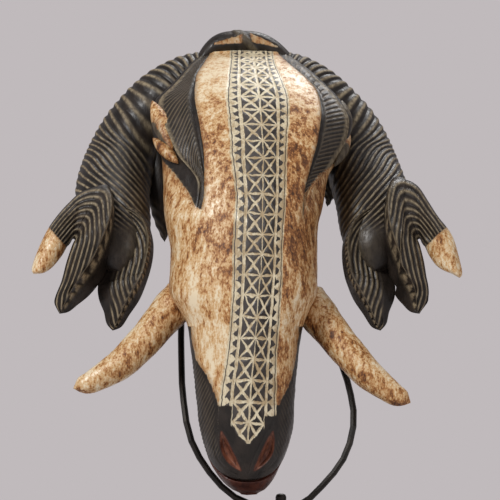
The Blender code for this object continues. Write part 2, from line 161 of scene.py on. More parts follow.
def level(table, h):
    """A grid table's value at a height, on smooth slopes that never overshoot."""
    if h <= table[0][0]:
        return table[0][1]
    for k in range(len(table) - 1):
        (h0, v0), (h1, v1) = table[k], table[k + 1]
        if h <= h1:
            before = table[k - 1] if k else (h0 - (h1 - h0), v0)
            after = table[k + 2] if k + 2 < len(table) else (h1 + (h1 - h0), v1)
            slope = (v1 - v0) / (h1 - h0)
            start = gentle((v0 - before[1]) / (h0 - before[0]), slope) * (h1 - h0)
            end = gentle(slope, (after[1] - v1) / (after[0] - h1)) * (h1 - h0)
            s = (h - h0) / (h1 - h0)
            return (
                v0 * (1 + 2 * s) * (1 - s) ** 2 + start * s * (1 - s) ** 2
                + v1 * s * s * (3 - 2 * s) - end * s * s * (1 - s)
            )
    return table[-1][1]


def ease(low, high, value):
    share = min(max((value - low) / (high - low), 0.0), 1.0)
    return share * share * (3 - 2 * share)


def sway(x, y, z, scale):
    """Slow unevenness of hand work, about -1 to 1, at a grid place."""
    return noise.noise(Vector((x, y, z)) / scale)


def carved_form(name, columns, rows, place, sharp=180.0):
    """A closed form from a grid: place(column, row) gives its point, its paint and its figure.

    Paint is (kaolin, red, wear and painted light): how far inside the kaolin, 1 in the red of the lip
    and 2 in the nostrils, and on soot how far it is rubbed to bare wood, with a painted highlight on
    rib crests and painted shade in grooves, on kaolin how far it is browned, with painted shade
    under the tusks and a painted highlight on the left cheek.
    Figure is (across, along, 1) on the forehead's band, and on hatching it is the count of strokes,
    how fully they are cut, and -1."""
    shape = bmesh.new()
    bmesh.ops.create_grid(shape, x_segments=columns, y_segments=rows, size=1.0)
    paint = shape.verts.layers.float_vector.new("paint")
    figure = shape.verts.layers.float_vector.new("figure")
    for vertex in shape.verts:
        column = round((vertex.co.x + 1) / 2 * columns)
        row = round((vertex.co.y + 1) / 2 * rows)
        point, vertex[paint], vertex[figure] = place(column, row)
        vertex.co = spot(*point)
    bmesh.ops.remove_doubles(shape, verts=shape.verts[:], dist=1e-6)
    bmesh.ops.holes_fill(shape, edges=shape.edges[:], sides=0)
    bmesh.ops.recalc_face_normals(shape, faces=shape.faces[:])
    mesh = bpy.data.meshes.new(name)
    shape.to_mesh(mesh)
    shape.free()
    mesh.shade_smooth()
    if sharp < 180.0:
        mesh.set_sharp_from_angle(angle=math.radians(sharp))
    form = bpy.data.objects.new(name, mesh)
    bpy.context.scene.collection.objects.link(form)
    return form


def wall_depth(h):
    """Depth of the hollow's middle line, which lies one wall behind the face."""
    line = []
    for k in range(1, len(PROFILE) - 1):
        rise = PROFILE[k + 1][0] - PROFILE[k - 1][0]
        back = PROFILE[k + 1][1] - PROFILE[k - 1][1]
        size = math.hypot(rise, back)
        line.append((PROFILE[k][0] - WALL * back / size, PROFILE[k][1] + WALL * rise / size))
    return level(sorted(line), h)


def stroke_distance(u, v):
    """Grid distance from the nearest knife stroke of the band's two columns of crossed cells."""
    across = abs(u) / CELL_SIDE
    up = v - math.floor(v)
    crossed = min(abs(across - up), abs(across + up - 1)) * CROSS_REACH
    return min(crossed, min(up, 1 - up) * BAND_ROW, across * COLUMN_REACH)


def face_lines(h, side):
    """The carver's lines on one side of the face at one height: widths from its middle, and depths."""
    middle = level(BAND_MIDDLE, h)
    widest = level(SIDE_LINE[side], h) - side * middle
    band = min(level(BAND_LINE[side], h), 0.62 * widest)
    field = min(max(level(FIELD_LINE[side], h) - side * middle, band * 1.06), 0.86 * widest)
    ridge = level(RIDGE_LINE[side], h) - side * middle
    muzzle = 0.93 * widest * (1 - ease(130, 190, h))
    ridge = min(max(ridge, field * 1.04 + 1, muzzle), 0.955 * widest)
    front = level(PROFILE, h)
    return {
        "h": h, "middle": middle, "widest": widest, "band": band, "field": field, "ridge": ridge,
        "front": front, "deep": max(level(SIDE_DEPTH, h), front + 4), "rim": level(RIM_DEPTH, h),
        "soot": level(SOOT_LIMIT[side], h) - side * middle,
        "white": level(FIELD_LINE[side], h) - side * middle,
        "brow": ease(276, 306, h) * (1 - 0.5 * ease(410, 440, h)),
        "inner": wall_depth(h), "open": ease(170, 184, h) * (1 - ease(424, 434, h)),
    }


def section_depth(lines, width):
    share = min(width / lines["widest"], 1.0)
    rise = 1 - (1 - share**SECTION_POWER) ** (1 / SECTION_POWER)
    return lines["front"] + (lines["deep"] - lines["front"]) * rise


def brow_cut(lines, zone, s):
    """How deep the brow panel and the eye socket lie under the round of the head."""
    panel = ((0, 0.0), (0.04, 0.7), (0.15, 0.85), (0.24, 0.4), (0.6, 0.8), (0.93, 0.5), (1.0, -0.15))
    lid = ((0, -0.15), (0.12, 1.5), (0.5, 1.2), (0.85, 0.1), (1.0, 0.0))
    return BROW_STEP * lines["brow"] * level(panel if zone == "panel" else lid, s)


def hatching(lines, side, zone, s, run):
    """Knife strokes: slanting on the left brow, level on the right, steep on both jaws.

    Gives how far along the row of strokes a place lies, and how fully the strokes are cut there."""
    h = lines["h"]
    if zone == "panel" and h > 284:
        bend = 1.0 * sway(run, h, 3.0 * side, 20)
        strokes = (h + 44 * s + bend) / 4.9 if side < 0 else (h - 6 * s + bend) / 4.5
        return strokes, ease(0.24, 0.28, s) * (1 - ease(0.90, 0.95, s)) * ease(284, 296, h)
    black = ease(2, 6, run - lines["field"]) * ease(34, 44, h) * (1 - ease(126, 142, h))
    return (run + h * 0.42 + 1.5 * sway(run, h, 7, 30)) / 3.1, (0.5 if side < 0 else 0.25) * black


def nostril_cut(x, h):
    """Depth of the almond nostrils, and of the line carved around each, at a place on the muzzle."""
    cut, red = 0.0, 0.0
    for side in (-1, 1):
        start = Vector((2.0 + side * 26.0, 65.0))
        end = Vector((2.5 + side * 6.0, 24.0))
        line = end - start
        t = (Vector((x, h)) - start).dot(line) / line.length_squared
        if not -0.3 < t < 1.3:
            continue
        off = (Vector((x, h)) - start).cross(line.normalized()) * side
        reach = math.sin(math.pi * min(max(t, 0.0), 1.0))
        middle = -4.0 * reach
        half = 5.8 * reach**0.7
        gap = abs(off - middle) - half
        if 0 < t < 1 and half > 0.3:
            cut += NOSTRIL_CUT * (1 - ease(-4.5, 0.6, gap)) * reach
            red = max(red, 2 * (1 - ease(-2.0, 1.2, gap)))
        rim = abs(off - middle + 1.0) - half - 5.0
        cut += 0.9 * (1 - ease(0.0, 1.5, abs(rim))) * ease(-0.25, 0.0, t) * (1 - ease(1.0, 1.2, t))
    return cut, red


def mouth_height(d):
    """Height of the line between the lips, which rises back to the corners of the mouth."""
    return 13.5 + 29 * min(max((d - 16) / 34, 0.0), 1.0) ** 1.1


def kaolin_browning_and_highlight(x, h, side):
    """How browned the kaolin is, less on a painted highlight along the left cheek's ridge."""
    left_cheek_highlight = math.exp(-(((x + 53) / 5.5) ** 2)) * ease(160, 185, h) * (1 - ease(212, 240, h))
    return level(STAIN_LINE[side], h) - 0.9 * left_cheek_highlight


def head_rows():
    """Sections of the head at equal steps along the face, each with its length along the face."""
    rows = []
    h, length = 0.0, 0.0
    while h < FACE_TOP - 0.4:
        rows.append((h, length))
        lean = level(PROFILE, h + 0.5) - level(PROFILE, h - 0.5)
        step = ROW_STEP / math.hypot(1, lean) * (0.75 if h < 52 else 1.0)
        h += step
        length += step * math.hypot(1, lean)
    rows.append((FACE_TOP, length))
    start = next(length for h, length in rows if h > BAND_FOOT)
    return [
        ({side: face_lines(h, side) for side in (-1, 1)}, (length - start) / BAND_ROW)
        for h, length in rows
    ]


def head_place(rows, steps):
    half = len(steps) - 1
    first, last = rows[0], rows[-1]

    def place(column, row):
        if row in (0, len(rows) + 1):
            near = (first if row == 0 else last)[0][1]
            end = (near["middle"], -0.8 if row == 0 else 451.0, 50 if row == 0 else 226)
            return end, (-1, 1.0 if row == 0 else 0.0, 0), (0, 0, 0)
        sides, along_band = rows[row - 1]
        number = column - half
        side = 1 if number > 0 else -1
        lines = sides[side]
        zone, s = steps[abs(number)]
        h, middle, widest = lines["h"], lines["middle"], lines["widest"]
        if zone in ("flank", "hollow"):
            return back_place(lines, side, zone, s)
        if zone == "band":
            width = lines["band"] * s
        elif zone == "plain":
            width = lines["band"] + (lines["field"] - lines["band"]) * s
        elif zone == "panel":
            width = lines["field"] + (lines["ridge"] - lines["field"]) * s
        else:
            width = lines["ridge"] + (widest - lines["ridge"]) * math.sin(math.pi / 2 * s)
        depth = section_depth(lines, width)
        lean = section_depth(lines, width + 0.4) - section_depth(lines, max(width - 0.4, 0))
        slope = min(lean / 0.8, 3.0)
        x = middle + side * width
        across = side * width / lines["band"]
        across += 0.018 * sway(x, h, 5, 9)
        up = along_band + 0.07 * sway(x, h, 11, 12) + 0.03 * math.sin(3 * across)
        cut = 0.4 + 0.45 * sway(x, h, depth, 17) + 0.22 * sway(x, h, depth, 6)
        kaolin = min(max(lines["white"] - width, width - lines["soot"]), h - 90.5)
        red = ease(1.5, -1.5, h - mouth_height(depth))
        wear_and_painted_light = 0.0 if kaolin < 0 else kaolin_browning_and_highlight(x, h, side)
        patterned = 0.0
        if zone in ("band", "plain") and h > BAND_FOOT:
            patterned = ease(BAND_FOOT, BAND_FOOT + 2, h)
            if abs(across) < CELL_SIDE:
                inside = ease(-0.25, -0.1, up - abs(across) / CELL_SIDE)
                cut += BAND_CUT * inside * (1 - ease(0.5, 2.4, stroke_distance(across, up)))
            strip = ease(1.5, 2.0, up)
            cut += strip * BAND_CUT * (1 - ease(0.0, 0.05, abs(abs(across) - 0.63)))
            cut += 1.1 * strip * BAND_CUT * (1 - ease(0.0, 0.035, abs(abs(across) - 0.98)))
        figure = (across, up, patterned)
        hatch = 0.0
        if zone in ("panel", "lid"):
            strokes, hatch = hatching(lines, side, zone, s, width)
            figure = (strokes, hatch, -1.0)
            hatch *= (0.5 + 0.5 * math.cos(2 * math.pi * strokes)) ** 2
            cut += brow_cut(lines, zone, s)
            if kaolin < 0:
                edge = abs(s - 1.0 if zone == "panel" else s)
                wear_and_painted_light = lines["brow"] * ease(296, 312, h) * (1 - ease(0.0, 0.09, edge))
                wear_and_painted_light = max(wear_and_painted_light, 0.6 * lines["brow"] * (1 - ease(0.0, 0.025, abs(s - 0.21))))
        almond = 0.0
        if h < 80:
            almond, inside = nostril_cut(x, h)
            red = max(red, inside)
            gap = abs(h - mouth_height(depth))
            cut += 6.5 * (1 - ease(0.8, 2.3, gap)) * ease(0, 8, h)
        cut += HATCH_CUT * hatch
        size = math.hypot(1, slope)
        point = (x - side * cut * slope / size, h, depth + cut / size + almond)
        return point, (kaolin, red, wear_and_painted_light), figure

    return place


def back_place(lines, side, zone, s):
    """The flank behind the widest line, the rim, and the hollow one wall inside."""
    middle, widest, rim, deep, h = (lines[key] for key in ("middle", "widest", "rim", "deep", "h"))
    kaolin = max(lines["white"] - widest, widest - lines["soot"])
    if zone == "flank":
        turn = ease(0.8, 1.0, s)
        x = middle + side * widest * (1 - (1 - RIM_TUCK) * s - 0.06 * turn)
        d = deep + (rim - deep) * min(s / 0.9, 1.0)
        uneven = 0.5 * sway(x, h, d, 16)
        kaolin = min(kaolin, 30 * (0.55 - s), 0.8 * (h - 166 - 0.3 * (d - 50)))
        strokes, full = hatching(lines, side, zone, s, widest + d - deep)
        paint = (kaolin, ease(1.5, -1.5, h - mouth_height(d)), 0.2 if kaolin > 0 else 0.0)
        return (x - side * uneven, h, d), paint, (strokes, full * (1 - s), -1.0)
    flat = widest * RIM_TUCK * 0.93 * (1 - s)
    wide = widest - WALL * 1.15
    if s < 0.3:
        inner_width = wide * (0.97 + 0.03 * s / 0.3)
        inner_depth = rim + (max(lines["inner"] + 4, deep) - rim) * s / 0.3
    else:
        share = math.cos(math.pi / 2 * (s - 0.3) / 0.7)
        inner_width = wide * share
        rise = 1 - (1 - min(share, 1.0) ** SECTION_POWER) ** (1 / SECTION_POWER)
        inner_depth = lines["inner"] + (max(lines["inner"] + 4, deep) - lines["inner"]) * rise
    width = flat + (inner_width - flat) * lines["open"]
    depth = rim + (inner_depth - rim) * lines["open"]
    x = middle * (1 - s) + side * width
    depth += 0.5 * lines["open"] * sway(x, h, depth, 8) * ease(0.0, 0.3, s)
    return (x, h, depth), (-8, 0, 0.55 * lines["open"]), (0, 0, 0)


def zone_steps():
    """Which zone of the half section each column lies in, and how far across it."""
    steps = [("band", 0.0)]
    for zone, count in ZONES:
        steps += [(zone, (k + 1) / count) for k in range(count)]
    return steps


rows = head_rows()
steps = zone_steps()
head = carved_form("mask_head", 2 * (len(steps) - 1), len(rows) + 1, head_place(rows, steps))


def srgb(red, green, blue):
    """A colour given in display values from 0 to 255, as the shader takes it."""
    values = (red, green, blue)
    linear = [v / 255 / 12.92 if v < 11 else ((v / 255 + 0.055) / 1.055) ** 2.4 for v in values]
    return (*linear, 1.0)


class Nodes:
    """Short ways to add nodes to one material."""

    def __init__(self, name):
        self.made = bpy.data.materials.new(name)
        self.made.use_nodes = True
        self.tree = self.made.node_tree
        self.shader = self.tree.nodes["Principled BSDF"]

    def add(self, kind, inputs=(), output=0, **settings):
        node = self.tree.nodes.new(kind)
        for key, value in settings.items():
            setattr(node, key, value)
        for number, given in enumerate(inputs):
            self.feed(node.inputs[number], given)
        return node.outputs[output]

    def feed(self, socket, given):
        if isinstance(given, bpy.types.NodeSocket):
            self.tree.links.new(given, socket)
        elif given is not None:
            socket.default_value = given

    def maths(self, operation, *values):
        return self.add("ShaderNodeMath", values, operation=operation)

    def step(self, value, low, high):
        """0 below low, 1 above high, smooth between."""
        return self.add(
            "ShaderNodeMapRange", (value, low, high, 0.0, 1.0), interpolation_type="SMOOTHSTEP"
        )

    def mix(self, share, first, second):
        node = self.tree.nodes.new("ShaderNodeMix")
        node.data_type = "RGBA"
        self.feed(node.inputs["Factor"], share)
        self.feed(node.inputs[6], first)
        self.feed(node.inputs[7], second)
        return node.outputs[2]

    def vary(self, noise_value, amount, base):
        """The base, moved up and down by a noise that lies about a half."""
        return self.maths("MULTIPLY_ADD", self.maths("SUBTRACT", noise_value, 0.5), amount, base)

    def bump(self, height, strength, distance):
        node = self.tree.nodes.new("ShaderNodeBump")
        node.inputs["Strength"].default_value = strength
        node.inputs["Distance"].default_value = distance
        self.feed(node.inputs["Height"], height)
        self.feed(self.shader.inputs["Normal"], node.outputs[0])

    def parts(self, attribute_name):
        """The three numbers of one of the piece's own attributes."""
        whole = self.add("ShaderNodeAttribute", output=1, attribute_name=attribute_name)
        node = self.tree.nodes.new("ShaderNodeSeparateXYZ")
        self.feed(node.inputs[0], whole)
        return node.outputs

    def grain(self, scale, stretch, detail=4.0, roughness=0.6, shift=0.0):
        """Noise in object space, drawn out along the height by the stretch."""
        where = self.add("ShaderNodeTexCoord", output=3)
        scaled = self.add(
            "ShaderNodeMapping", (where, (shift, shift, shift), None, (1.0, 1.0, 1.0 / stretch))
        )
        return self.add("ShaderNodeTexNoise", (scaled, None, scale, detail, roughness))


def pigmented_wood(name):
    """Wood under worn pigments: kaolin, soot and red, by the piece's paint and figure attributes."""
    n = Nodes(name)
    kaolin_edge, red_share, wear_and_painted_light = n.parts("paint")
    across, up, patterned = n.parts("figure")

    broad = n.grain(24, 2.0, 3)
    patches = n.grain(105, 2.6, 6, 0.72, 3.0)
    streaks = n.grain(300, 2.8, 4, 0.65, 7.0)
    specks = n.grain(620, 1.5, 3, 0.6, 11.0)

    # The kaolin's browning carries painted light too: painted shade under the tusks and a painted
    # highlight on the left cheek.
    stain_and_painted_light = wear_and_painted_light
    for noise_value, amount in ((patches, 3.8), (streaks, 3.1), (specks, 2.1), (broad, 1.8)):
        stain_and_painted_light = n.vary(noise_value, amount, stain_and_painted_light)
    chalk = n.mix(n.step(stain_and_painted_light, -0.75, 0.15), srgb(240, 223, 190), srgb(214, 175, 124))
    chalk = n.mix(n.step(stain_and_painted_light, 0.10, 0.55), chalk, srgb(172, 117, 64))
    chalk = n.mix(n.step(stain_and_painted_light, 0.50, 1.05), chalk, srgb(112, 69, 38))
    chalk = n.mix(n.step(stain_and_painted_light, 1.05, 1.5), chalk, srgb(72, 46, 28))

    soot = n.mix(n.step(n.grain(90, 2.0, 5, 0.6, 17.0), 0.35, 0.7), srgb(28, 23, 19), srgb(50, 42, 36))
    # Above zero the soot turns to the tan of bare wood: wear, and on ribbed crests also a painted
    # highlight; below zero it darkens to near black, painted shade in the grooves.
    crest = n.mix(n.step(streaks, 0.4, 0.62), srgb(172, 156, 126), srgb(116, 101, 79))
    soot = n.mix(n.maths("MULTIPLY", wear_and_painted_light, 0.85), soot, crest)
    soot = n.mix(n.maths("MULTIPLY", wear_and_painted_light, -0.85), soot, srgb(17, 14, 12))
    blood = n.mix(n.step(patches, 0.35, 0.65), srgb(56, 25, 19), srgb(88, 44, 29))
    flesh = n.mix(n.step(streaks, 0.35, 0.65), srgb(134, 84, 62), srgb(84, 48, 36))
    blood = n.mix(n.step(red_share, 1.0, 1.8), blood, flesh)

    wave = n.maths("COSINE", n.maths("MULTIPLY", across, 2 * math.pi))
    line = n.maths("POWER", n.maths("MULTIPLY_ADD", wave, 0.5, 0.5), 3.0)
    hatched = n.maths("MULTIPLY", n.maths("MULTIPLY", line, up), n.step(patterned, -0.6, -0.9))
    soot = n.mix(n.maths("MULTIPLY", hatched, 0.42), soot, srgb(150, 134, 108))

    ragged = n.vary(streaks, 4.5, kaolin_edge)
    colour = n.mix(n.step(ragged, -0.7, 0.7), soot, chalk)
    rubbed = n.maths("MULTIPLY", n.step(ragged, -0.5, 0.8), n.step(ragged, 6.0, 0.0))
    colour = n.mix(n.maths("MULTIPLY", rubbed, 0.5), colour, srgb(120, 80, 46))
    colour = n.mix(n.step(red_share, 0.3, 0.9), colour, blood)

    across = n.vary(n.grain(190, 1.0, 2, 0.5, 23.0), 0.07, across)
    up = n.vary(n.grain(170, 1.0, 2, 0.5, 29.0), 0.2, up)
    far = n.maths("ABSOLUTE", across)
    column = n.maths("DIVIDE", far, CELL_SIDE)
    turn = n.maths("FRACT", up)
    down = n.maths("SUBTRACT", 1.0, turn)
    slant = n.maths("ABSOLUTE", n.maths("SUBTRACT", column, turn))
    counter = n.maths("ABSOLUTE", n.maths("SUBTRACT", column, down))
    crossed = n.maths("MULTIPLY", n.maths("MINIMUM", slant, counter), CROSS_REACH)
    level_line = n.maths("MULTIPLY", n.maths("MINIMUM", turn, down), BAND_ROW)
    nearest = n.maths("MINIMUM", crossed, level_line)
    nearest = n.maths("MINIMUM", nearest, n.maths("MULTIPLY", column, COLUMN_REACH))
    broadening = n.maths("MULTIPLY_ADD", n.step(up, 15.0, 24.0), 1.3, 1.0)
    broadening = n.maths("MULTIPLY_ADD", n.step(up, 6.0, 2.0), 0.25, broadening)
    swell = n.maths("MULTIPLY_ADD", n.maths("SINE", n.maths("MULTIPLY", column, math.pi)), 0.8, -0.45)
    swell = n.vary(streaks, 1.8, swell)
    reach = n.maths("SUBTRACT", n.maths("ADD", broadening, swell), nearest)
    strokes = n.step(reach, -0.35, 0.35)
    strokes = n.maths("MULTIPLY", strokes, n.step(n.maths("SUBTRACT", up, column), -0.2, -0.1))
    notch = n.maths("FRACT", n.maths("MULTIPLY", up, 2.0))
    notch = n.maths("ABSOLUTE", n.maths("SUBTRACT", notch, 0.5))
    taper = n.maths("MULTIPLY", n.maths("SUBTRACT", 0.93, far), 2.2)
    taper = n.vary(streaks, 0.6, taper)
    tooth = n.step(n.maths("SUBTRACT", taper, notch), 0.0, 0.08)
    tooth = n.maths("MULTIPLY", tooth, n.step(far, 0.69, 0.71))
    hairline = n.maths("MULTIPLY", n.step(far, 0.955, 0.97), n.step(far, 1.005, 0.99))
    strip = n.maths("SUBTRACT", 1.0, n.maths("MAXIMUM", tooth, hairline))
    chalked = n.mix(n.step(far, 0.575, 0.59), strokes, strip)
    white = n.mix(n.step(stain_and_painted_light, -0.6, 1.0), srgb(229, 217, 186), srgb(178, 156, 120))
    ground = n.mix(n.step(patches, 0.4, 0.7), srgb(38, 33, 30), srgb(70, 63, 58))
    # The left half of the band's black ground is painted a lighter grey: a painted sheen where the light
    # falls.
    ground = n.mix(n.maths("MULTIPLY", n.step(across, 0.02, -0.02), 0.45), ground, srgb(96, 91, 88))
    banded = n.mix(chalked, ground, white)
    star = n.step(n.maths("SUBTRACT", up, column), -0.25, -0.1)
    star = n.maths("MULTIPLY", star, n.step(far, 0.62, 0.59))
    on_band = n.maths("MULTIPLY", n.step(patterned, 0.3, 0.7), n.step(far, 1.075, 1.045))
    lower = n.maths("MULTIPLY_ADD", n.step(across, -0.1, 0.1), 0.45, up)
    on_band = n.maths("MULTIPLY", on_band, n.maths("MAXIMUM", star, n.step(lower, 1.75, 1.85)))
    colour = n.mix(on_band, colour, banded)

    n.feed(n.shader.inputs["Base Color"], colour)
    light = n.step(ragged, -0.7, 0.7)
    rough = n.maths("MULTIPLY_ADD", n.step(stain_and_painted_light, -0.4, 0.9), 0.24, 0.30)
    rough = n.maths("MULTIPLY_ADD", n.maths("SUBTRACT", 1.0, light), 0.06, rough)
    n.feed(n.shader.inputs["Roughness"], rough)
    n.shader.inputs["Specular IOR Level"].default_value = 0.42
    height = n.maths("MULTIPLY_ADD", n.step(stain_and_painted_light, 1.1, -0.3), 0.5, n.maths("MULTIPLY", specks, 0.35))
    height = n.maths("MULTIPLY_ADD", n.maths("MULTIPLY", chalked, on_band), -0.7, height)
    n.bump(height, 0.55, 0.0006)
    return n.made


carved_paint = pigmented_wood("kaolin_and_soot_on_wood")


def fit_carving(piece):
    """Every carved piece is part of the one block: it stands for the mask and takes its finish."""
    piece.data.materials.append(carved_paint)
    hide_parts("mask")
    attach(piece, "root")


fit_carving(head)


# The crown: a rolled rim behind the forehead, carved with the head, with a strap that comes down
# over the end of the band. Two lens-shaped hollows in it are rubbed with kaolin.
CROWN_COLUMNS = 48
CROWN_ROWS = 120


def crown_place(column, row):
    share = 2 * row / CROWN_ROWS - 1
    x = -1 + 46 * share
    angle = 2 * math.pi * column / CROWN_COLUMNS
    ends = 1 - abs(share) ** (3.6 if share < 0 else 2.4)
    slant = x + 1 - 0.9 * (4 - 12 * math.sin(angle))
    strap = 1.0 * (1 - ease(3.0, 7.0, abs(slant)))
    h = 447 + 21.9 * ends - 12 + (12 + strap) * math.sin(angle)
    thick = 15 if abs(share) < 1 else 8
    d = 228 + (thick + 3 * strap) * math.cos(angle)
    lens = -9.0
    if math.cos(angle) < 0:
        for tip, root, low, high in ((-32, -5, 455, 460), (34, 8, 452, 461)):
            t = (x - tip) / (root - tip)
            if t > 0:
                lens = max(lens, min(0.6 + 3.4 * t - abs(h - low - (high - low) * t), 12 * (1.05 - t)))
    hollow = 1.3 * ease(-0.6, 1.2, lens)
    return (x, h, d + hollow), (min(lens, 1.6), 0, 0.25 * strap), (0, 0, 0)


fit_carving(carved_form("mask_crown", CROWN_COLUMNS, CROWN_ROWS, crown_place))


# The eyes: two pointed lids to each side, left standing when the sockets were cut. Kaolin is rubbed
# over the left pair; the right pair is sooty but for a little kaolin at the end of the lower lid.
LID_WIDTH = {"upper": 9.5, "lower": 6.5}
LID_THICKNESS = 7.5
LID_COLUMNS = 20
LID_ROWS = 40
LIDS = {
    -1: (((-94, 395, 132), (-73, 343, 94)), ((-93, 357, 116), (-67, 331, 82))),
    1: (((98, 396, 158), (101, 352, 132)), ((106, 362, 140), (90, 328, 108))),
}


def lid_kaolin(side, kind, share, angle):
    """How far inside the kaolin a place on a lid lies; below zero it is sooty."""
    if side < 0:
        upper = 6 * (1.9 - 1.4 * ease(0.2, 0.5, share) + side * math.cos(angle))
        return upper if kind == "upper" else 4.0
    return 3.0 - 6.0 * ease(0.3, 0.5, share) if kind == "lower" else -3.0


def lid_place(side, kind, start, end):
    start, end = Vector(start), Vector(end)
    ahead = (end - start).normalized()
    across = ahead.cross(Vector((0, 0, 1))).normalized()
    out = across.cross(ahead)

    def place(column, row):
        swell = math.sin(math.pi * row / LID_ROWS) ** 0.75 if 0 < row < LID_ROWS else 0.0
        angle = 2 * math.pi * column / LID_COLUMNS
        share = row / LID_ROWS
        point = start.lerp(end, share)
        point += swell * LID_WIDTH[kind] * math.cos(angle) * across
        point += swell * LID_THICKNESS * math.sin(angle) * out
        return tuple(point), (lid_kaolin(side, kind, share, angle), 0, 0.35), (0, 0, 0)

    return place


for side, name in ((-1, "left"), (1, "right")):
    for kind, (start, end) in zip(("upper", "lower"), LIDS[side]):
        place = lid_place(side, kind, start, end)
        fit_carving(carved_form(f"mask_{name}_{kind}_lid", LID_COLUMNS, LID_ROWS, place))


# The horns: cut from the same block, curling forward on both sides of the head. The rings are cut
# deep on the outside of the curl and rubbed nearly smooth on the inside; their crests are rubbed to
# wood and carry a painted highlight, and their troughs are darkened with painted shade.
RINGS = 36
RING_CUT = 0.0017 / UNIT  # 1.7 mm
RING_LEAN = 6.5  # how many rings' breadth the rings come to slant across the curl
RING_TURN = 0.6  # radians from the curl's outside to where a ring runs furthest ahead
HORN_COLUMNS = 48
HORN_ROWS = 16 * RINGS
SLIDE_PASSES = 12
CURL_MIDDLE = Vector((-70.0, 262.0, 150.0))
HORN_LINE = (
    (-36, 423, 234, 26), (-58, 415, 234, 30), (-86, 396, 231, 33), (-112, 367, 224, 34),
    (-128, 332, 204, 37), (-135, 300, 170, 38), (-131, 270, 136, 36), (-127, 247, 112, 29),
    (-126, 230, 98, 17), (-126, 222, 92, 0),
)


def along(line, share):
    """The point at a share (0 to 1) of a list of points, on a smooth curve through them."""
    place = min(max(share, 0.0), 1.0) * (len(line) - 1)
    first = min(int(place), len(line) - 2)
    s = place - first
    near = [line[min(max(first + k, 0), len(line) - 1)] for k in (-1, 0, 1, 2)]
    return [
        0.5 * (2 * b + (c - a) * s + (2 * a - 5 * b + 4 * c - d) * s**2 + (3 * b - a - 3 * c + d) * s**3)
        for a, b, c, d in zip(*near)
    ]


def as_drawn(x, h):
    return x, h


def right_horn(x, h):
    """The right horn lies a little closer to the head than the left one's mirror image."""
    return x * (1.025 - 0.1 * ease(240, 330, h) - 0.035 * ease(360, 400, h)), h


def straight(share, angle):
    return share


def round_place(line, columns, rows, side, bend, skin, slide=straight):
    """Places on a tapering round form along a line; skin(share, angle) gives its cut and paint.

    Slide(share, angle) moves a row along the line, so that slanting rings lie along the rows."""

    def centre(share):
        x, h, d, radius = along(line, share)
        x, h = bend(-x, h)
        return Vector((-x, h, d)), max(radius, 0.0)

    def place(column, row):
        angle = 2 * math.pi * column / columns
        share = slide(row / rows, angle)
        middle, radius = centre(share)
        ahead = (centre(min(share + 0.01, 1))[0] - centre(max(share - 0.01, 0))[0]).normalized()
        outward = middle - CURL_MIDDLE
        outward = (outward - outward.dot(ahead) * ahead).normalized()
        across = ahead.cross(outward)
        cut, paint = skin(share, angle)
        point = middle + max(radius - cut, 0.0) * (math.cos(angle) * outward + math.sin(angle) * across)
        return (point.x * -side, point.y, point.z), paint, (0, 0, 0)

    return place


def ring_lead(share, angle):
    """How many rings a ring runs ahead of its share of the horn, at an angle round the horn."""
    lean = ease(0.15, 0.55, share) - 0.2
    return RING_LEAN * lean * ease(0, 0.2, share) * (1 - ease(0.7, 1, share)) * math.cos(angle + RING_TURN)


def ring_slide(share, angle):
    """Where a ring lies along the horn at an angle, found by repeated correction."""
    found = share
    for _ in range(SLIDE_PASSES):
        found = share - ring_lead(found, angle) / RINGS
    return min(max(found, 0.0), 1.0)


def ringed_skin(share, angle):
    outer = 0.5 + 0.5 * math.cos(angle)
    wander = 0.08 * sway(30 * share, 2 * math.cos(angle), 2 * math.sin(angle), 1.0)
    phase = share * RINGS + ring_lead(share, angle) + wander
    ringed = ease(0.0, 0.04, share) * (1 - ease(0.72, 0.80, share))
    trough = (1 - abs(math.sin(math.pi * phase)) ** 1.5) * ringed
    depth = (0.2 + 0.8 * outer**0.7) * (1 - 0.6 * max(math.cos(angle), 0.0) ** 6)
    crest = abs(math.sin(math.pi * phase)) ** 7 * ringed
    # Ring crests lighten towards bare wood, partly wear and partly a painted highlight; troughs darken
    # with painted shade.
    wear_and_painted_light = 1.15 * crest * (0.25 + 0.75 * outer) + 0.22 * (1 - outer) - 0.6 * trough * (0.3 + 0.7 * outer)
    uneven = 0.3 * sway(60 * share, 4 * math.cos(angle), 4 * math.sin(angle), 1.3)
    return RING_CUT * depth * trough + uneven, (-6, 0, wear_and_painted_light)


for side, name, bend in ((-1, "left", as_drawn), (1, "right", right_horn)):
    horn = round_place(HORN_LINE, HORN_COLUMNS, HORN_ROWS, side, bend, ringed_skin, ring_slide)
    fit_carving(carved_form(f"mask_{name}_horn", HORN_COLUMNS, HORN_ROWS, horn))


# The webs: wood left standing behind each cheek, where the horn's inner side meets the head. They
# are blackened and carry a few grooves near their lower ends.
WEB_COLUMNS = 28
WEB_ROWS = 60
WEB_GROOVES = 9
WEBS = {
    -1: ((-92, 356, 206), (-82, 252, 196), 13.0),
    1: ((95, 350, 206), (84, 288, 196), 9.0),
}


def web_place(top, foot, half):
    top, foot = Vector(top), Vector(foot)
    ahead = (foot - top).normalized()
    across = ahead.cross(Vector((0, 0, 1))).normalized()
    out = across.cross(ahead)

    def place(column, row):
        share = row / WEB_ROWS
        swell = half * math.sin(math.pi * share) ** 0.75 if 0 < row < WEB_ROWS else 0.0
        angle = 2 * math.pi * column / WEB_COLUMNS
        phase = WEB_GROOVES * share + math.cos(angle)
        groove = ease(0.55, 0.7, share) * (0.5 + 0.5 * math.cos(2 * math.pi * phase))
        point = top.lerp(foot, share)
        point += max(swell - 0.9 * groove, 0.0) * (math.cos(angle) * across + math.sin(angle) * out)
        return tuple(point), (-6, 0, 0.25 * groove), (0, 0, 0)

    return place


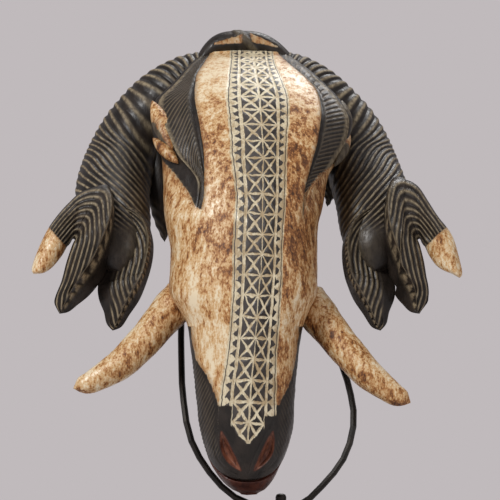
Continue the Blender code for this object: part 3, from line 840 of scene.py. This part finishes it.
for side, name in ((-1, "left"), (1, "right")):
    fit_carving(carved_form(f"mask_{name}_web", WEB_COLUMNS, WEB_ROWS, web_place(*WEBS[side])))


# The horn ends: each horn opens like a hand. Nested grooves run up the outer leaf, over the top and
# down into a thumb whose tip is white; the inner leaf's grooves fan out from the palm. Both leaves
# have a toothed crest with a smooth facet beyond it. Rib crests carry a painted highlight and the
# grooves painted shade.
LEAF_RIBS = 8
PALM_RIBS = 9
PALM_FAN = 3.0  # how many ribs the inner leaf's grooves fan out by
LEAF_CUT = 2.0
LEAF_PITCH = 6.2  # between two ribs of a leaf near its tip
LEAF_TEETH = 13
FRONT_STEPS = 6 * LEAF_RIBS
FACET_STEPS = 10
BACK_STEPS = 16
LEAF_COLUMNS = FRONT_STEPS + FACET_STEPS + BACK_STEPS
LEAF_ROWS = 160
CREST_ANGLE = 50.0  # degrees; edges sharper than this stay sharp
# From the outer leaf's tip over the notch to the thumb's tip: the notch side's edge (x, h, d), the
# crest (x, h, d), the facet's far edge (x, h, d), the bulge between edge and crest, the thickness
OUTER_HAND = (
    (-186, 180, 80, -186, 180, 80, -186, 180, 80, 0, 0),
    (-191, 190, 80, -183, 185, 75, -177, 182, 84, 1, 13),
    (-190, 198, 80, -175, 201, 69, -168, 189, 90, 2, 18),
    (-184, 213, 78, -166, 215, 64, -157, 198, 94, 3, 24),
    (-179, 232, 77, -152, 235, 61, -147, 210, 96, 4, 28),
    (-174, 247, 78, -141, 258, 61, -139, 224, 98, 6, 30),
    (-172, 252, 82, -134, 278, 65, -133, 244, 102, 9, 30),
    (-171, 254, 88, -133, 296, 78, -130, 279, 110, 12, 28),
    (-172, 255, 92, -139, 306, 94, -137, 308, 112, 15, 24),
    (-173, 255, 95, -153, 307, 104, -153, 307, 104, 18, 20),
    (-174, 254, 97, -166, 302, 106, -166, 302, 106, 19, 19),
    (-175, 252, 98, -177, 292, 103, -177, 292, 103, 18, 18),
    (-177, 249, 96, -187, 281, 98, -187, 281, 98, 16, 16),
    (-179, 247, 92, -197, 267, 92, -197, 267, 92, 14, 14),
    (-184, 238, 87, -205, 251, 87, -205, 251, 87, 12, 12),
    (-193, 227, 82, -212, 233, 82, -212, 233, 82, 9.5, 9.5),
    (-202, 221, 78, -214, 224, 78, -214, 224, 78, 6, 6),
    (-212, 220, 77, -212, 220, 77, -212, 220, 77, 0, 0),
)
THUMB_TIP = 13.0 / 17.0  # where along the hand the thumb's white tip starts
INNER_LEAF = (
    (-133, 163, 88, -133, 163, 88, -133, 163, 88, 0, 0),
    (-139, 170, 90, -129, 170, 84, -124, 167, 92, 0, 12),
    (-142, 182, 92, -120, 190, 79, -116, 179, 94, 1, 16),
    (-147, 195, 93, -109, 209, 74, -106, 194, 95, 1, 24),
    (-148, 208, 98, -102, 222, 73, -99, 211, 95, 0, 26),
    (-144, 222, 104, -98, 237, 74, -94, 228, 96, -2, 26),
    (-139, 236, 108, -96, 250, 77, -92, 243, 99, -3, 26),
    (-135, 249, 110, -97, 263, 82, -93, 256, 104, -3, 24),
    (-133, 261, 111, -102, 275, 90, -98, 271, 112, -2, 20),
    (-132, 272, 113, -112, 284, 100, -109, 287, 120, 0, 16),
    (-132, 282, 118, -124, 289, 112, -124, 292, 128, 0, 10),
)


def right_end(x, h):
    """The right horn's end is carved a little wider and higher than the left one's mirror image."""
    leaf = ease(148, 156, x) * (1 - ease(190, 204, x)) * (14 - 10 * ease(180, 215, h))
    drop = 4 * ease(202, 213, x)
    return x + 3 + 0.09 * max(0.0, h - 215) - leaf, h + 8 * ease(280, 306, h) - drop


def leaf_place(line, side, bend, ribs, fan):
    def place(column, row):
        share = row / LEAF_ROWS
        ix, ih, idepth, cx, ch, cdepth, ox, oh, odepth, bulge, thick = along(line, share)
        edge, crest, far = Vector((ix, ih, idepth)), Vector((cx, ch, cdepth)), Vector((ox, oh, odepth))
        tip = ease(THUMB_TIP - 0.004, THUMB_TIP + 0.004, share) if line is OUTER_HAND else 0.0
        ends = ease(0.0, 0.05, share) * (1 - tip)
        toothed = ease(0.03, 0.08, share) * (1 - ease(0.42, 0.5, share) * (line is OUTER_HAND))
        saw = abs(share * LEAF_TEETH * 2 % 1 - 0.5) * 2
        column %= LEAF_COLUMNS
        wear_and_painted_light, cut = 0.0, 0.0
        if column < FRONT_STEPS:
            s = column / FRONT_STEPS
            point = edge.lerp(crest, s)
            lift = s if bulge < 0 or thick <= bulge + 0.01 else 1 - (1 - s) ** 1.5
            point.z = edge.z + (crest.z - edge.z) * lift
            point.z -= bulge * math.sin(math.pi * s) ** 0.6
            near_tip = 1 - ease(0.3, 0.5, share)
            count_here = ribs + ((crest - edge).length / LEAF_PITCH - ribs) * near_tip
            phase = count_here * s + fan * ease(0.45, 1.0, share)
            trough = abs(math.cos(math.pi * phase)) ** 2.0
            bare = ease(0.0, 0.04, s) * (1 - ease(0.90, 0.95, s) * toothed)
            if fan:
                bare *= ease(0.25, 0.42, s)
            cut = LEAF_CUT * trough * ends * bare
            # Rib crests lighten towards bare wood, partly wear and partly a painted highlight; grooves
            # darken with painted shade.
            wear_and_painted_light = ((1 - trough) ** 2.8 - 0.5 * trough) * ends * bare
            wear_and_painted_light = max(wear_and_painted_light, toothed * ease(0.90, 0.98, s) * 0.5)
        elif column < FRONT_STEPS + FACET_STEPS:
            s = (column - FRONT_STEPS) / FACET_STEPS
            point = crest.lerp(far, s)
            point.z = crest.z + (far.z - crest.z) * s**0.8
            notch = ease(0.0, 0.25, 1 - saw - s / 0.45)
            cut = 2.4 * notch * toothed
            wear_and_painted_light = toothed * (1 - notch) * (1 - ease(0.2, 0.45, s)) * 0.9
        else:
            s = (column - FRONT_STEPS - FACET_STEPS) / BACK_STEPS
            point = far.lerp(edge, s)
            point.z += thick * math.sin(math.pi * s) ** 0.7
        step = 0.9 * (1 - tip) if line is OUTER_HAND and share > 0.5 else 0.0
        point.z += cut - step * (column < FRONT_STEPS)
        uneven = 0.3 * sway(point.x, point.y, point.z, 7)
        kaolin = (share - THUMB_TIP) * 500 if line is OUTER_HAND else -6.0
        x, h = bend(-point.x, point.y)
        return (x * side, h, point.z + uneven), (kaolin, 0, wear_and_painted_light), (0, 0, 0)

    return place


for side, name, bend in ((-1, "left", as_drawn), (1, "right", right_end)):
    for kind, line, ribs, fan in (
        ("hand", OUTER_HAND, LEAF_RIBS, 0.0), ("leaf", INNER_LEAF, PALM_RIBS, PALM_FAN),
    ):
        place = leaf_place(line, side, bend, ribs, fan)
        fit_carving(carved_form(f"mask_{name}_{kind}", LEAF_COLUMNS, LEAF_ROWS, place, CREST_ANGLE))


# The tusks: two blunt rods of the same wood, bowed up and out of the cheeks, rubbed with kaolin.
TUSK_COLUMNS = 40
TUSK_ROWS = 90
TUSK_LINE = (
    (-63, 201, 90, 17), (-72, 187, 82, 19.6), (-83, 174.5, 74, 18.3), (-98, 156, 64, 17),
    (-122, 132, 52, 15.6), (-148, 115, 44, 12), (-163, 109, 41, 8.5), (-171, 106, 40, 0),
)


def right_tusk(x, h):
    """The right tusk hangs a little lower than the left one's mirror image."""
    drop = 7.5 * ease(50, 80, x) + 7 * max(0.0, (x - 80) / 92) ** 2
    return x * (1 - 0.035 * ease(80, 170, x)), h - drop


def tusk_skin(share, angle):
    """Faceted a little by the knife, browned at the root, darkened underneath with painted shade."""
    facet = 0.8 * sway(14 * share, 2.2 * math.cos(angle), 2.2 * math.sin(angle), 1.5)
    fine = 0.3 * sway(60 * share, 4 * math.cos(angle), 4 * math.sin(angle), 1.5)
    # The root is browned; the underside is darkened with painted shade.
    stain_and_underside_shade = 0.1 * (1 - ease(0.2, 0.45, share)) + 0.3 * math.cos(angle) + 0.05
    return facet + fine, (8.0, 0, stain_and_underside_shade)


for side, name, bend in ((-1, "left", as_drawn), (1, "right", right_tusk)):
    tusk = round_place(TUSK_LINE, TUSK_COLUMNS, TUSK_ROWS, side, bend, tusk_skin)
    fit_carving(carved_form(f"mask_{name}_tusk", TUSK_COLUMNS, TUSK_ROWS, tusk))


# The cradle and its post: 6 mm and 10 mm steel bar, bent and welded, blackened and waxed. The rod
# takes the mask's weight under the roof of the hollow.
def blackened_steel(name, dark, light, roughness):
    n = Nodes(name)
    cloud = n.grain(45, 1.0, 5, 0.6, 1.0)
    scale = n.grain(900, 1.0, 3, 0.6, 5.0)
    n.feed(n.shader.inputs["Base Color"], n.mix(n.step(cloud, 0.35, 0.7), dark, light))
    n.feed(n.shader.inputs["Roughness"], n.maths("MULTIPLY_ADD", cloud, 0.25, roughness))
    n.shader.inputs["Metallic"].default_value = 0.6
    n.bump(scale, 0.25, 0.0003)
    return n.made


def coat(node, material):
    """The stand's pieces keep the CAD model's shapes and only take a finish."""
    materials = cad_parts[node].data.materials
    materials.clear()
    materials.append(material)


rod_black = blackened_steel("blackened_rod", srgb(30, 27, 24), srgb(52, 46, 40), 0.28)
for node in ("cradle", "post"):
    coat(node, rod_black)


# The foot: a flat steel plate with eased corners, painted matt black.
plate_black = blackened_steel("matt_black_plate", srgb(30, 29, 28), srgb(44, 42, 40), 0.42)
coat("base_plate", plate_black)


# The floor under the foot, the soft studio light, and the camera level with the middle of the mask.
FLOOR_SIZE = 4.0
CAMERA_DISTANCE = 6.0
PICTURE_WIDTH = 500.0 * UNIT
SKY_STRENGTH = 1.0
SOFT_STRENGTH = 0.55  # what lights the mask; the camera sees the other
backdrop = srgb(192, 186, 188)

floor_mesh = bpy.data.meshes.new("floor")
shape = bmesh.new()
bmesh.ops.create_grid(shape, x_segments=1, y_segments=1, size=FLOOR_SIZE / 2)
shape.to_mesh(floor_mesh)
shape.free()
floor = bpy.data.objects.new("floor", floor_mesh)
bpy.context.scene.collection.objects.link(floor)
paper = Nodes("pale_paper")
mottle = paper.grain(6, 1.0, 3)
paper.feed(
    paper.shader.inputs["Base Color"],
    paper.mix(paper.step(mottle, 0.3, 0.7), srgb(196, 191, 191), srgb(204, 199, 199)),
)
paper.shader.inputs["Roughness"].default_value = 0.85
floor_mesh.materials.append(paper.made)

world = bpy.data.worlds.new("studio")
world.use_nodes = True
sky = world.node_tree
plain = sky.nodes["Background"]
soft = sky.nodes.new("ShaderNodeBackground")
for background, strength in ((plain, SKY_STRENGTH), (soft, SOFT_STRENGTH)):
    background.inputs["Color"].default_value = backdrop
    background.inputs["Strength"].default_value = strength
seen = sky.nodes.new("ShaderNodeLightPath")
either = sky.nodes.new("ShaderNodeMixShader")
sky.links.new(seen.outputs["Is Camera Ray"], either.inputs[0])
sky.links.new(soft.outputs[0], either.inputs[1])
sky.links.new(plain.outputs[0], either.inputs[2])
sky.links.new(either.outputs[0], sky.nodes["World Output"].inputs[0])
bpy.context.scene.world = world
bpy.context.scene.view_settings.view_transform = "Standard"

aim = spot(5, 244, 60)
for name, place, size, power in (
    ("key", (-1.7, -2.0, 2.1), 0.9, 70.0),
    ("fill", (2.4, -2.4, 0.9), 1.8, 16.0),
    ("rim", (0.6, 1.6, 2.2), 1.2, 30.0),
):
    lamp = bpy.data.lights.new(name, "AREA")
    lamp.size = size
    lamp.energy = power
    light = bpy.data.objects.new(name, lamp)
    light.location = aim + Vector(place)
    light.rotation_euler = (-Vector(place)).to_track_quat("-Z", "Y").to_euler()
    bpy.context.scene.collection.objects.link(light)

lens = bpy.data.cameras.new("camera")
lens.sensor_width = 36.0
lens.lens = lens.sensor_width * CAMERA_DISTANCE / PICTURE_WIDTH
lens.clip_end = 50.0
camera = bpy.data.objects.new("camera", lens)
camera.location = aim + Vector((0, -CAMERA_DISTANCE, 0))
camera.rotation_euler = (math.pi / 2, 0, 0)
bpy.context.scene.collection.objects.link(camera)
bpy.context.scene.camera = camera
